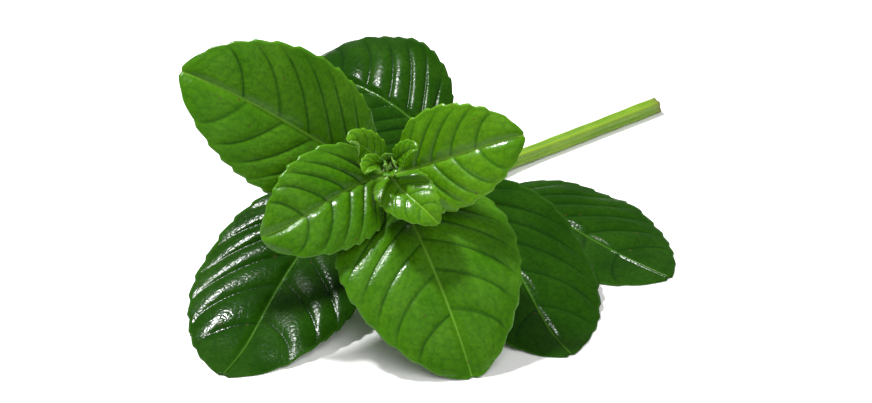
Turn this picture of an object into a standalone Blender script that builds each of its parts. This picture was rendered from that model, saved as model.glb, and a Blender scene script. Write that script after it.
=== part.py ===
# A cut sprig of mint, lying on a level surface with its leafy head raised.
# World axes: +Z up, -Y is the side the head faces. The origin is on the surface,
# under the middle of the sprig. Lengths below are in millimetres unless said otherwise.

import math

import bmesh
import bpy
from mathutils import Vector

MM = 0.001

# stem: measured along its middle from the growing tip (0) back to the cut end
TIP_PLACE = (-8.7, -29.2)      # where the growing tip stands, in plan
STEM_LENGTH = 112.0
STEM_STEPS = 44
STEM_HALF_THICK = 1.35          # half the square stem's thickness, over most of its length
TIP_HALF_THICK = 0.55           # the same just under the growing tip
TAPER_LENGTH = 34.0             # the stem thins over this length below the tip
HEAD_SLOPE = 42.0               # degrees that the stem climbs at the tip
RISE_LENGTH = 88.0              # the stem lies flat beyond this distance from the tip
TRAIL_ANGLE = 52.0              # degrees that the cut end has swung round, in plan
TRAIL_LENGTH = 84.0             # the swing is complete at this distance from the tip
HEAD_ROLL = 20.0                # degrees that the square section is turned at the tip
SECTION_POINTS = 12             # points round the stem's section
SQUARENESS = 5.0                # power of the superellipse that the section follows
CORNER_REACH = 1.15             # how much further out than its faces the section's corners are
SINK_GUARD = 1.04               # keeps the section's widest points off the surface

# leaf solids
BLADE_THICK = 0.45
PETIOLE_HALF_WIDTH = 0.75
RIB_DEPTH = 0.9                 # how far the midrib stands out under the blade
JOINT_GAP = 0.3                 # clearance between a leaf's foot and the stem
GROUND_BLEND = 1.0              # height over which a drooping leaf eases on to the surface
BASE_POWER = 0.60               # below 1 the blade's base is rounder
TIP_POWER = 0.78                # below 1 the blade's tip is rounder
STATION_CROWDING = 1.6          # above 1 the sections crowd towards the blade's base
LAST_STATION = 0.985            # the blade's tip is closed off here
VEIN_SWEEP = 0.5                # below 1, the side veins meet the edge further forward
VEIN_BEND = 2.2                 # power with which they bend forward
OPENING_LENGTH = 0.18           # the blade's halves open out over this share of its length
RIB_TAPER = 0.75                # share of its depth that the midrib loses by the tip
SMALLEST_CURL = 0.001           # radians, so that a flat half needs no formula of its own
ACROSS = (-1.0, -0.72, -0.42, -0.13, 0.0, 0.13, 0.42, 0.72, 1.0)
PETIOLE_STATIONS = 2
BLADE_STATIONS = 12
MIDRIB_STEPS = 64
FINE_STEPS = 256                # the midrib is first laid out this finely, then spaced evenly

# bud
BUD_LENGTH = 3.6
BUD_HALF_WIDTH = 1.1
BUD_TAPER = 0.45                # share of its width that the bud loses by its point

GREENS = {
    "young_leaf": ((0.16, 0.36, 0.03), 0.38),
    "leaf": ((0.06, 0.20, 0.015), 0.36),
    "old_leaf": ((0.025, 0.10, 0.012), 0.34),
    "stem": ((0.20, 0.30, 0.05), 0.45),
}

# Each leaf: distance of its node from the tip, angle round the stem (0 right, 90 up, seen
# from in front), place of its own tip from the growing tip in plan and its height above the
# surface, direction it sets off in and arrives in, the way its upper face looks at the foot
# and at the tip, petiole length, blade width, fold and curl of the halves in degrees.
LEAVES = {
    "leaf_1_left": dict(node=1.0, angle=200, tip=(-4.4, -5.0, 33.2), start=(-0.8, -0.3, 0.5),
                        end=(-0.4, -1.0, -0.4), face=(0.5, -0.6, 0.6), face_tip=(-0.1, -0.5, 0.9),
                        petiole=0.4, width=4.6, fold=30, curl=24, material="young_leaf"),
    "leaf_1_right": dict(node=1.0, angle=20, tip=(5.4, -1.8, 36.4), start=(0.8, 0.0, 0.7),
                         end=(0.8, -0.7, 0.1), face=(-0.6, -0.6, 0.5), face_tip=(-0.1, -0.5, 0.9),
                         petiole=0.4, width=4.8, fold=30, curl=24, material="young_leaf"),
    "leaf_2_front": dict(node=3.6, angle=305, tip=(9.3, -9.4, 24.8), start=(0.4, -0.8, -0.2),
                         end=(0.6, -0.2, -0.8), face=(0.0, -0.5, 0.9), face_tip=(0.3, -0.9, 0.4),
                         petiole=0.9, width=9.8, fold=20, curl=30, material="young_leaf"),
    "leaf_2_back": dict(node=3.6, angle=128, tip=(-7.2, 0.2, 37.0), start=(-0.7, 0.3, 0.8),
                        end=(-0.3, -0.7, 0.3), face=(0.4, -0.7, 0.4), face_tip=(-0.3, -0.6, 0.8),
                        petiole=0.8, width=7.0, fold=26, curl=34, material="young_leaf"),
    "leaf_3_right": dict(node=7.8, angle=14, tip=(25.2, 0.6, 38.2), start=(0.8, -0.3, 0.4),
                         end=(0.95, 0.3, 0.1), face=(-0.1, -0.8, 0.6), face_tip=(0.1, -0.8, 0.6),
                         petiole=0.9, width=20.0, fold=13, curl=20, material="young_leaf"),
    "leaf_3_left": dict(node=7.8, angle=205, tip=(-23.8, -8.2, 21.4), start=(-0.8, -0.5, 0.2),
                        end=(-0.9, 0.2, -0.4), face=(0.0, -0.8, 0.6), face_tip=(-0.2, -0.85, 0.5),
                        petiole=0.9, width=20.0, fold=13, curl=22, material="leaf"),
    "leaf_4_left": dict(node=14.5, angle=146, tip=(-39.0, 11.0, 46.0), start=(-0.85, 0.0, 0.5),
                        end=(-0.95, 0.3, 0.2), face=(0.2, -0.7, 0.6), face_tip=(0.0, -0.75, 0.65),
                        petiole=2.4, width=28.0, fold=12, curl=20, material="leaf"),
    "leaf_4_front": dict(node=14.5, angle=296, tip=(15.6, -23.0, -0.7), start=(0.25, -0.95, 0.1),
                         end=(0.25, -0.35, -0.9), face=(0.0, -0.4, 0.9), face_tip=(0.2, -0.9, 0.4),
                         petiole=2.0, width=34.0, fold=9, curl=20, material="leaf"),
    "leaf_5_left": dict(node=31.0, angle=202, tip=(-30.5, -22.5, -1.8), start=(-0.95, -0.15, 0.0),
                        end=(-0.4, -0.9, -0.2), face=(-0.1, -0.5, 0.8), face_tip=(-0.1, -0.1, 1.0),
                        petiole=6.0, width=34.0, fold=10, curl=20, material="old_leaf"),
    "leaf_5_right": dict(node=31.0, angle=20, tip=(34.0, -15.5, -1.8), start=(0.95, -0.1, 0.2),
                         end=(0.45, -0.85, -0.2), face=(0.1, -0.5, 0.8), face_tip=(0.2, -0.1, 1.0),
                         petiole=7.0, width=31.0, fold=10, curl=20, material="old_leaf"),
    "leaf_6_upper": dict(node=57.0, angle=112, tip=(-20.0, 68.0, 14.0), start=(-0.5, 0.2, 0.85),
                         end=(-0.8, 0.4, -0.5), face=(0.5, -0.6, 0.6), face_tip=(-0.4, -0.1, 0.9),
                         petiole=8.0, width=33.0, fold=10, curl=22, material="old_leaf"),
    "leaf_6_lower": dict(node=57.0, angle=335, tip=(54.0, 12.0, -1.8), start=(0.85, -0.5, 0.1),
                         end=(0.75, -0.65, -0.1), face=(0.2, -0.1, 1.0), face_tip=(0.0, 0.0, 1.0),
                         petiole=8.0, width=30.0, fold=8, curl=14, material="old_leaf"),
}


def smooth(amount):
    amount = min(max(amount, 0.0), 1.0)
    return amount * amount * (3.0 - 2.0 * amount)


def stem_half(distance):
    return TIP_HALF_THICK + (STEM_HALF_THICK - TIP_HALF_THICK) * min(distance / TAPER_LENGTH, 1.0) ** 0.6


def stem_axes(distance):
    """Forward, side and up directions of the stem at a distance from the growing tip."""
    slope = math.radians(HEAD_SLOPE) * (1.0 - smooth(distance / RISE_LENGTH))
    swing = math.radians(TRAIL_ANGLE) * smooth(distance / TRAIL_LENGTH)
    level = math.cos(slope)
    forward = Vector((-math.sin(swing) * level, -math.cos(swing) * level, math.sin(slope)))
    side = Vector((math.cos(swing), -math.sin(swing), 0.0))
    return forward, side, side.cross(forward) * -1.0


def stem_middle():
    """Points along the stem's middle, from the growing tip back to the cut end."""
    step = STEM_LENGTH / STEM_STEPS
    points = [Vector((TIP_PLACE[0], TIP_PLACE[1], 0.0))]
    for index in range(STEM_STEPS):
        forward = stem_axes((index + 0.5) * step)[0]
        points.append(points[-1] - forward * step)
    lift = STEM_HALF_THICK * SINK_GUARD - points[-1].z
    return [point + Vector((0.0, 0.0, lift)) for point in points]


def along(points, distance, length):
    """The point at a distance along a polyline of even steps and known length."""
    place = min(max(distance / length, 0.0), 1.0) * (len(points) - 1)
    first = min(int(place), len(points) - 2)
    return points[first].lerp(points[first + 1], place - first)


def loft(name, rings, material, collection):
    """A closed solid through rings of equally many points, with both ends filled."""
    mesh = bpy.data.meshes.new(name)
    shape = bmesh.new()
    loops = [[shape.verts.new(point * MM) for point in ring] for ring in rings]
    count = len(rings[0])
    for low, high in zip(loops, loops[1:]):
        for index in range(count):
            after = (index + 1) % count
            shape.faces.new((low[index], low[after], high[after], high[index]))
    shape.faces.new(loops[0][::-1])
    shape.faces.new(loops[-1])
    bmesh.ops.triangulate(shape, faces=shape.faces[:])
    bmesh.ops.recalc_face_normals(shape, faces=shape.faces[:])
    shape.to_mesh(mesh)
    shape.free()
    mesh.shade_smooth()
    mesh.materials.append(material)
    piece = bpy.data.objects.new(name, mesh)
    collection.objects.link(piece)
    return piece


def make_material(name, color, roughness):
    material = bpy.data.materials.new(name)
    material.use_nodes = True
    shader = material.node_tree.nodes["Principled BSDF"]
    shader.inputs["Base Color"].default_value = (*color, 1.0)
    shader.inputs["Roughness"].default_value = roughness
    shader.inputs["Metallic"].default_value = 0.0
    return material


def make_stem(middle, material, collection):
    rings = []
    for index, point in enumerate(middle):
        distance = index * STEM_LENGTH / STEM_STEPS
        forward, side, up = stem_axes(distance)
        roll = math.radians(HEAD_ROLL) * (1.0 - distance / STEM_LENGTH)
        ring = []
        for step in range(SECTION_POINTS):
            turn = 2.0 * math.pi * (step + 0.5) / SECTION_POINTS
            # a superellipse: flat faces with rounded corners
            spread = abs(math.cos(turn)) ** SQUARENESS + abs(math.sin(turn)) ** SQUARENESS
            reach = stem_half(distance) / spread ** (1.0 / SQUARENESS)
            ring.append(point + (side * math.cos(turn + roll) + up * math.sin(turn + roll)) * reach)
        rings.append(ring)
    return loft("stem", rings, material, collection)


def leaf_midrib(leaf, middle):
    """Evenly spaced points along a leaf's midrib, from its foot on the stem to its tip."""
    forward, side, up = stem_axes(leaf["node"])
    angle = math.radians(leaf["angle"])
    outward = side * math.cos(angle) + up * math.sin(angle)
    reach = stem_half(leaf["node"]) * CORNER_REACH + JOINT_GAP + 0.3 * foot_half_width(leaf)
    foot = along(middle, leaf["node"], STEM_LENGTH) + outward * reach
    tip = Vector((middle[0].x + leaf["tip"][0], middle[0].y + leaf["tip"][1], leaf["tip"][2]))
    pull = (tip - foot).length
    leave = Vector(leaf["start"]).normalized() * pull
    arrive = Vector(leaf["end"]).normalized() * pull
    raw = []
    for index in range(FINE_STEPS + 1):
        s = index / FINE_STEPS
        raw.append(foot * (2 * s**3 - 3 * s**2 + 1) + leave * (s**3 - 2 * s**2 + s)
                   + tip * (3 * s**2 - 2 * s**3) + arrive * (s**3 - s**2))
    lengths = [0.0]
    for before, after in zip(raw, raw[1:]):
        lengths.append(lengths[-1] + (after - before).length)
    points = []
    cursor = 0
    for index in range(MIDRIB_STEPS + 1):
        wanted = lengths[-1] * index / MIDRIB_STEPS
        while cursor < len(raw) - 2 and lengths[cursor + 1] < wanted:
            cursor += 1
        share = (wanted - lengths[cursor]) / (lengths[cursor + 1] - lengths[cursor])
        points.append(raw[cursor].lerp(raw[cursor + 1], share))
    return points, lengths[-1]


def blade_half_width(leaf, x):
    """Half the blade's width at x, which runs from 0 at its base to 1 at its tip."""
    x = min(max(x, 0.0), 1.0)
    widest = BASE_POWER / (BASE_POWER + TIP_POWER)
    bulge = (x / widest) ** BASE_POWER * ((1.0 - x) / (1.0 - widest)) ** TIP_POWER
    foot = foot_half_width(leaf) * (1.0 - 0.8 * x)
    return math.hypot(0.5 * leaf["width"] * bulge, foot)


def foot_half_width(leaf):
    return min(PETIOLE_HALF_WIDTH, 0.07 * leaf["width"])


def ease_to_ground(height):
    """Height of an underside point once the leaf rests on the surface."""
    if height <= -GROUND_BLEND:
        return 0.0
    if height >= GROUND_BLEND:
        return height
    return (height + GROUND_BLEND) ** 2 / (4.0 * GROUND_BLEND)


def leaf_column(leaf, points, length, x, t):
    """The upper and lower points of the blade at x along it and t (-1 to 1) across it."""
    distance = leaf["petiole"] + x * (length - leaf["petiole"])
    share = distance / length
    here = along(points, distance, length)
    ahead = along(points, min(distance + 0.5, length), length)
    behind = along(points, max(distance - 0.5, 0.0), length)
    tangent = (ahead - behind).normalized()
    face = Vector(leaf["face"]).lerp(Vector(leaf["face_tip"]), smooth(share))
    normal = (face - tangent * face.dot(tangent)).normalized()
    across = normal.cross(tangent)
    half = blade_half_width(leaf, x)
    opening = smooth(x / OPENING_LENGTH)
    fold = math.radians(leaf["fold"]) * opening
    curl = math.radians(leaf["curl"]) * opening + SMALLEST_CURL
    reach = half * (math.sin(fold) - math.sin(fold - curl * abs(t))) / curl
    rise = half * (math.cos(fold - curl * abs(t)) - math.cos(fold)) / curl
    rib_half = foot_half_width(leaf) * (1.15 - 0.8 * max(x, 0.0))
    rib = math.sqrt(max(0.0, 1.0 - (t * half / rib_half) ** 2))
    scale = foot_half_width(leaf) / PETIOLE_HALF_WIDTH
    thick = BLADE_THICK * (0.4 + 0.6 * scale)
    depth = thick + RIB_DEPTH * scale * (1.0 - RIB_TAPER * max(x, 0.0)) * rib
    upper = here + across * math.copysign(reach, t) + normal * rise
    lower = upper - normal * depth
    lift = ease_to_ground(lower.z) - lower.z
    if lift > 0.0:
        upper.z += lift
        lower.z += lift
    return upper, lower


def make_leaf(name, leaf, middle, material, collection):
    points, length = leaf_midrib(leaf, middle)
    blade = length - leaf["petiole"]
    rings = []
    for index in range(PETIOLE_STATIONS):
        x = -leaf["petiole"] / blade * (1.0 - index / PETIOLE_STATIONS)
        rings.append([leaf_column(leaf, points, length, x, t) for t in ACROSS])
    for index in range(BLADE_STATIONS + 1):
        s = LAST_STATION * (index / BLADE_STATIONS) ** STATION_CROWDING
        ring = []
        for t in ACROSS:
            # side veins leave the midrib at a slant and bend towards the tip
            x = s + (s**VEIN_SWEEP - s) * 0.5 * (abs(t) + abs(t) ** VEIN_BEND)
            ring.append(leaf_column(leaf, points, length, x, t))
        rings.append(ring)
    loops = [[pair[0] for pair in ring] + [pair[1] for pair in reversed(ring)] for ring in rings]
    return loft(name, loops, material, collection)


def make_bud(middle, material, collection):
    forward, side, up = stem_axes(0.0)
    mesh = bpy.data.meshes.new("tip_bud")
    shape = bmesh.new()
    bmesh.ops.create_uvsphere(shape, u_segments=10, v_segments=8, radius=0.5)
    foot = middle[0] + forward * JOINT_GAP
    for vertex in shape.verts:
        height = vertex.co.z + 0.5
        narrow = 2.0 * BUD_HALF_WIDTH * (1.0 - BUD_TAPER * height)
        place = foot + forward * height * BUD_LENGTH
        place += side * vertex.co.x * narrow + up * vertex.co.y * narrow
        vertex.co = place * MM
    bmesh.ops.recalc_face_normals(shape, faces=shape.faces[:])
    shape.to_mesh(mesh)
    shape.free()
    mesh.shade_smooth()
    mesh.materials.append(material)
    piece = bpy.data.objects.new("tip_bud", mesh)
    collection.objects.link(piece)
    return piece


def main():
    for item in list(bpy.data.objects):
        bpy.data.objects.remove(item)
    collection = bpy.data.collections.new("mint_sprig")
    bpy.context.scene.collection.children.link(collection)
    materials = {name: make_material(name, color, rough) for name, (color, rough) in GREENS.items()}
    middle = stem_middle()
    pieces = [make_stem(middle, materials["stem"], collection)]
    pieces.append(make_bud(middle, materials["young_leaf"], collection))
    for name, leaf in LEAVES.items():
        pieces.append(make_leaf(name, leaf, middle, materials[leaf["material"]], collection))
    sprig = bpy.data.objects.new("sprig", None)
    collection.objects.link(sprig)
    for piece in pieces:
        piece.parent = sprig


main()
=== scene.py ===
import math

import bpy
import numpy as np
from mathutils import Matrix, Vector


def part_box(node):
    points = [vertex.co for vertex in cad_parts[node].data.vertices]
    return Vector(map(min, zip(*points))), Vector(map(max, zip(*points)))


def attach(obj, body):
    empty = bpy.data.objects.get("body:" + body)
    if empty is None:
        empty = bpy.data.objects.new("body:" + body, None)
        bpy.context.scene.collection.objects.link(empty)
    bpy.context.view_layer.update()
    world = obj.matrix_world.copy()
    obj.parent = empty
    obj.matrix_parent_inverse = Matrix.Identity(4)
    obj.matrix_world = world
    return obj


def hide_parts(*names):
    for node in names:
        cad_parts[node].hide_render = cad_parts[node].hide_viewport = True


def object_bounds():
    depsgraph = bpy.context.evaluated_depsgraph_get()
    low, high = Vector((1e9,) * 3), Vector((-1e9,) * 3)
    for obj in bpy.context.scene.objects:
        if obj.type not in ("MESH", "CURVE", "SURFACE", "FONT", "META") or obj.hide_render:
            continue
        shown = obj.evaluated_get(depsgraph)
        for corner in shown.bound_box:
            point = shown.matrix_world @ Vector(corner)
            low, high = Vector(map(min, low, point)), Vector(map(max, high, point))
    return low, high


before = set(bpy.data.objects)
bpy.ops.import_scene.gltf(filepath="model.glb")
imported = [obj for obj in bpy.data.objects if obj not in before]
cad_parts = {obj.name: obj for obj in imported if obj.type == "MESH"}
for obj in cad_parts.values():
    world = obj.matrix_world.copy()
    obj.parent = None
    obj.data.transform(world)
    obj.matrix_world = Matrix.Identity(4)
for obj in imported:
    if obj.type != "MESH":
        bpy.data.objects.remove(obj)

mm = 0.001
cadLow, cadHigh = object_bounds()
middle = (cadLow + cadHigh) / 2


# camera

view = {
    "elevation": 30.0,  # degrees above the surface
    "azimuth": 0.0,
    "distance": 0.62,
    "lens": 133.0,
    "sensor": 36.0,
    "aimShift": (0.0, -0.012, -0.0105),  # from the middle of the sprig
}


def makeCamera():
    data = bpy.data.cameras.new("camera")
    data.lens = view["lens"]
    data.sensor_width = view["sensor"]
    data.clip_start = 0.01
    camera = bpy.data.objects.new("camera", data)
    bpy.context.scene.collection.objects.link(camera)
    lift = math.radians(view["elevation"])
    turn = math.radians(view["azimuth"])
    away = Vector((math.sin(turn) * math.cos(lift), -math.cos(turn) * math.cos(lift), math.sin(lift)))
    camera.location = middle + Vector(view["aimShift"]) + away * view["distance"]
    camera.rotation_euler = (-away).to_track_quat("-Z", "Y").to_euler()
    bpy.context.scene.camera = camera


makeCamera()
print("camera set")


# shader node helpers

def addNode(tree, kind, place=(0, 0), **settings):
    node = tree.nodes.new(kind)
    node.location = place
    for key, value in settings.items():
        setattr(node, key, value)
    return node


def mathNode(tree, operation, first, second=None):
    node = addNode(tree, "ShaderNodeMath", operation=operation)
    for socket, value in zip(node.inputs, (first, second)):
        if value is None:
            continue
        if isinstance(value, (int, float)):
            socket.default_value = value
        else:
            tree.links.new(value, socket)
    return node.outputs[0]


def mixColor(tree, amount, first, second):
    node = addNode(tree, "ShaderNodeMix", data_type="RGBA")
    for socket, value in ((node.inputs[0], amount), (node.inputs[6], first), (node.inputs[7], second)):
        if isinstance(value, (int, float)):
            socket.default_value = value
        elif isinstance(value, tuple):
            socket.default_value = (*value, 1.0)
        else:
            tree.links.new(value, socket)
    return node.outputs[2]


def spread(tree, value, low, high, newLow=0.0, newHigh=1.0):
    node = addNode(tree, "ShaderNodeMapRange")
    tree.links.new(value, node.inputs[0])
    for index, number in enumerate((low, high, newLow, newHigh)):
        node.inputs[index + 1].default_value = number
    return node.outputs[0]


def meshMask(tree, name):
    return addNode(tree, "ShaderNodeAttribute", attribute_name=name).outputs["Fac"]


def newGroup(name, inputs, outputs):
    group = bpy.data.node_groups.new(name, "ShaderNodeTree")
    for label, kind, value in inputs:
        socket = group.interface.new_socket(name=label, in_out="INPUT", socket_type=kind)
        socket.default_value = value
    for label, kind in outputs:
        group.interface.new_socket(name=label, in_out="OUTPUT", socket_type=kind)
    start = addNode(group, "NodeGroupInput", (-900, 0))
    end = addNode(group, "NodeGroupOutput", (900, 0))
    return group, start.outputs, end.inputs


# mottled tissue: soft patches of two greens, darker specks, and a few round blemishes

tissueLook = {
    "patchDetail": 4.0, "patchRoughness": 0.6, "patchLow": 0.35, "patchHigh": 0.68,
    "speckDetail": 2.0, "speckLow": 0.42, "speckHigh": 0.7,
    "spotScale": 300.0, "spotInner": 0.04, "spotOuter": 0.11,
    "spotFrom": 0.62,  # only the cells above this have a spot
}


def makeTissueGroup():
    look = tissueLook
    group, given, result = newGroup(
        "plantTissue",
        [("Main", "NodeSocketColor", (0.05, 0.2, 0.01, 1)),
         ("Patch", "NodeSocketColor", (0.1, 0.3, 0.02, 1)),
         ("Dark", "NodeSocketColor", (0.02, 0.1, 0.01, 1)),
         ("Patch Scale", "NodeSocketFloat", 110.0),
         ("Speck Scale", "NodeSocketFloat", 1600.0),
         ("Speck Amount", "NodeSocketFloat", 0.35)],
        [("Color", "NodeSocketColor"), ("Patches", "NodeSocketFloat"), ("Spots", "NodeSocketFloat")])
    where = addNode(group, "ShaderNodeTexCoord").outputs["Object"]
    patches = addNode(group, "ShaderNodeTexNoise")
    patches.inputs["Detail"].default_value = look["patchDetail"]
    patches.inputs["Roughness"].default_value = look["patchRoughness"]
    group.links.new(where, patches.inputs["Vector"])
    group.links.new(given["Patch Scale"], patches.inputs["Scale"])
    specks = addNode(group, "ShaderNodeTexNoise")
    specks.inputs["Detail"].default_value = look["speckDetail"]
    group.links.new(where, specks.inputs["Vector"])
    group.links.new(given["Speck Scale"], specks.inputs["Scale"])
    cells = addNode(group, "ShaderNodeTexVoronoi")
    cells.inputs["Scale"].default_value = look["spotScale"]
    group.links.new(where, cells.inputs["Vector"])
    chosen = mathNode(group, "GREATER_THAN", cells.outputs["Color"], look["spotFrom"])
    dots = spread(group, cells.outputs["Distance"], look["spotInner"], look["spotOuter"], 1.0, 0.0)
    spots = mathNode(group, "MULTIPLY", dots, chosen)
    group.links.new(spots, result["Spots"])
    patchMask = spread(group, patches.outputs["Fac"], look["patchLow"], look["patchHigh"])
    speckMask = spread(group, specks.outputs["Fac"], look["speckLow"], look["speckHigh"])
    speckMask = mathNode(group, "MULTIPLY", speckMask, given["Speck Amount"])
    color = mixColor(group, patchMask, given["Main"], given["Patch"])
    color = mixColor(group, speckMask, color, given["Dark"])
    group.links.new(color, result["Color"])
    group.links.new(patchMask, result["Patches"])
    return group


# fine relief: the wrinkled skin between the veins, as heights for a bump

reliefLook = {
    "warpScale": 350.0,
    "warpReach": 0.0016,  # metres
    "wrinkleWidth": 0.32,
}


def makeReliefGroup():
    look = reliefLook
    group, given, result = newGroup(
        "skinRelief",
        [("Wrinkle Scale", "NodeSocketFloat", 700.0), ("Grain Scale", "NodeSocketFloat", 2600.0),
         ("Grain Share", "NodeSocketFloat", 0.3)],
        [("Height", "NodeSocketFloat")])
    where = addNode(group, "ShaderNodeTexCoord").outputs["Object"]
    warp = addNode(group, "ShaderNodeTexNoise")
    warp.inputs["Scale"].default_value = look["warpScale"]
    group.links.new(where, warp.inputs["Vector"])
    offset = addNode(group, "ShaderNodeVectorMath", operation="SCALE")
    group.links.new(warp.outputs["Color"], offset.inputs[0])
    offset.inputs["Scale"].default_value = look["warpReach"]
    warped = addNode(group, "ShaderNodeVectorMath", operation="ADD")
    group.links.new(where, warped.inputs[0])
    group.links.new(offset.outputs[0], warped.inputs[1])
    cells = addNode(group, "ShaderNodeTexVoronoi", feature="DISTANCE_TO_EDGE")
    group.links.new(warped.outputs[0], cells.inputs["Vector"])
    group.links.new(given["Wrinkle Scale"], cells.inputs["Scale"])
    domes = spread(group, cells.outputs["Distance"], 0.0, look["wrinkleWidth"])
    grain = addNode(group, "ShaderNodeTexNoise")
    group.links.new(where, grain.inputs["Vector"])
    group.links.new(given["Grain Scale"], grain.inputs["Scale"])
    grainPart = mathNode(group, "MULTIPLY", grain.outputs["Fac"], given["Grain Share"])
    height = mathNode(group, "ADD", domes, grainPart)
    group.links.new(height, result["Height"])
    return group


tissueGroup = makeTissueGroup()
reliefGroup = makeReliefGroup()


def placeGroup(tree, group, values):
    node = addNode(tree, "ShaderNodeGroup")
    node.node_tree = group
    for label, value in values.items():
        node.inputs[label].default_value = (*value, 1.0) if isinstance(value, tuple) else value
    return node.outputs


def newMaterial(name):
    material = bpy.data.materials.new(name)
    material.use_nodes = True
    tree = material.node_tree
    shader = tree.nodes["Principled BSDF"]
    return material, tree, shader


# leaf skins: one dictionary for each age, upper face and underside

# the dark colour each skin gives its vein and net lines is painted shade, standing in for the shadow in
# their grooves
youngSkin = {
    "main": (0.044, 0.14, 0.002), "patch": (0.072, 0.19, 0.0035), "dark": (0.022, 0.083, 0.002),
    "vein": (0.17, 0.33, 0.03), "shadedGroove": (0.014, 0.07, 0.002), "rim": (0.14, 0.32, 0.02),
    "underMain": (0.13, 0.29, 0.04), "underPatch": (0.18, 0.36, 0.065),
    "underVein": (0.28, 0.44, 0.13), "blemish": (0.06, 0.04, 0.01),
    "roughLow": 0.17, "roughHigh": 0.34, "bump": 0.1, "gloss": 0.19,
}
matureSkin = {
    "main": (0.03, 0.111, 0.0016), "patch": (0.05, 0.15, 0.0027), "dark": (0.013, 0.06, 0.001),
    "vein": (0.13, 0.28, 0.025), "shadedGroove": (0.006, 0.036, 0.001), "rim": (0.08, 0.23, 0.015),
    "underMain": (0.085, 0.2, 0.04), "underPatch": (0.125, 0.26, 0.06),
    "underVein": (0.23, 0.37, 0.13), "blemish": (0.06, 0.04, 0.01),
    "roughLow": 0.17, "roughHigh": 0.36, "bump": 0.13, "gloss": 0.19,
}
oldSkin = {
    "main": (0.007, 0.035, 0.001), "patch": (0.0135, 0.054, 0.0015), "dark": (0.0035, 0.017, 0.0008),
    "vein": (0.06, 0.155, 0.015), "shadedGroove": (0.003, 0.019, 0.001), "rim": (0.04, 0.14, 0.01),
    "underMain": (0.065, 0.15, 0.04), "underPatch": (0.095, 0.2, 0.055),
    "underVein": (0.17, 0.29, 0.11), "blemish": (0.06, 0.04, 0.01),
    "roughLow": 0.15, "roughHigh": 0.3, "bump": 0.12, "gloss": 0.09,
}
sharedSkin = {
    "shadedGroove": 0.85,  # how strongly each mark colours the skin: painted shade along the vein and net lines, real colour for the blemishes
    "net": 0.3,
    "blemish": 0.7,
    "underNet": 0.35,
    "underRoughLow": 0.5,
    "underRoughHigh": 0.65,
    "underBump": 0.4,
    "underGloss": 0.2,
    "bumpDepth": 0.0002,  # metres
    "tissue": {"Patch Scale": 95.0, "Speck Scale": 1500.0, "Speck Amount": 0.35},
    "relief": {"Wrinkle Scale": 900.0, "Grain Scale": 3200.0, "Grain Share": 0.25},
    "underTissue": {"Patch Scale": 120.0, "Speck Scale": 1900.0, "Speck Amount": 0.25},
    "underRelief": {"Wrinkle Scale": 1100.0, "Grain Scale": 3600.0, "Grain Share": 0.4},
}


def makeUpperSkin(name, look):
    material, tree, shader = newMaterial(name)
    tissue = placeGroup(tree, tissueGroup, {
        "Main": look["main"], "Patch": look["patch"], "Dark": look["dark"], **sharedSkin["tissue"]})
    # painted shade: the side vein and net lines are darkened where their grooves would be in shadow
    shadedGroove = mathNode(tree, "MULTIPLY", meshMask(tree, "sideVein"), sharedSkin["shadedGroove"])
    net = mathNode(tree, "MULTIPLY", meshMask(tree, "netVein"), sharedSkin["net"])
    color = mixColor(tree, net, tissue["Color"], look["shadedGroove"])
    color = mixColor(tree, shadedGroove, color, look["shadedGroove"])
    color = mixColor(tree, meshMask(tree, "midVein"), color, look["vein"])
    color = mixColor(tree, meshMask(tree, "rim"), color, look["rim"])
    blemish = mathNode(tree, "MULTIPLY", tissue["Spots"], sharedSkin["blemish"])
    color = mixColor(tree, blemish, color, look["blemish"])
    tree.links.new(color, shader.inputs["Base Color"])
    rough = spread(tree, tissue["Patches"], 0.0, 1.0, look["roughLow"], look["roughHigh"])
    tree.links.new(rough, shader.inputs["Roughness"])
    relief = placeGroup(tree, reliefGroup, sharedSkin["relief"])
    bump = addNode(tree, "ShaderNodeBump")
    bump.inputs["Strength"].default_value = look["bump"]
    bump.inputs["Distance"].default_value = sharedSkin["bumpDepth"]
    tree.links.new(relief["Height"], bump.inputs["Height"])
    tree.links.new(bump.outputs[0], shader.inputs["Normal"])
    shader.inputs["Specular IOR Level"].default_value = look["gloss"]
    return material


def makeUnderSkin(name, look):
    material, tree, shader = newMaterial(name)
    tissue = placeGroup(tree, tissueGroup, {
        "Main": look["underMain"], "Patch": look["underPatch"], "Dark": look["main"],
        **sharedSkin["underTissue"]})
    net = mathNode(tree, "MULTIPLY", meshMask(tree, "netVein"), sharedSkin["underNet"])
    color = mixColor(tree, net, tissue["Color"], look["underVein"])
    color = mixColor(tree, meshMask(tree, "sideVein"), color, look["underVein"])
    color = mixColor(tree, meshMask(tree, "midVein"), color, look["underVein"])
    tree.links.new(color, shader.inputs["Base Color"])
    roughLow, roughHigh = sharedSkin["underRoughLow"], sharedSkin["underRoughHigh"]
    rough = spread(tree, tissue["Patches"], 0.0, 1.0, roughLow, roughHigh)
    tree.links.new(rough, shader.inputs["Roughness"])
    relief = placeGroup(tree, reliefGroup, sharedSkin["underRelief"])
    bump = addNode(tree, "ShaderNodeBump")
    bump.inputs["Strength"].default_value = sharedSkin["underBump"]
    bump.inputs["Distance"].default_value = sharedSkin["bumpDepth"]
    tree.links.new(relief["Height"], bump.inputs["Height"])
    tree.links.new(bump.outputs[0], shader.inputs["Normal"])
    shader.inputs["Specular IOR Level"].default_value = sharedSkin["underGloss"]
    return material


skins = {}
for age, look in (("young", youngSkin), ("mature", matureSkin), ("old", oldSkin)):
    skins[age] = (makeUpperSkin(age + "LeafUpper", look), makeUnderSkin(age + "LeafUnder", look))
print("leaf skins made")


# stem

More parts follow.
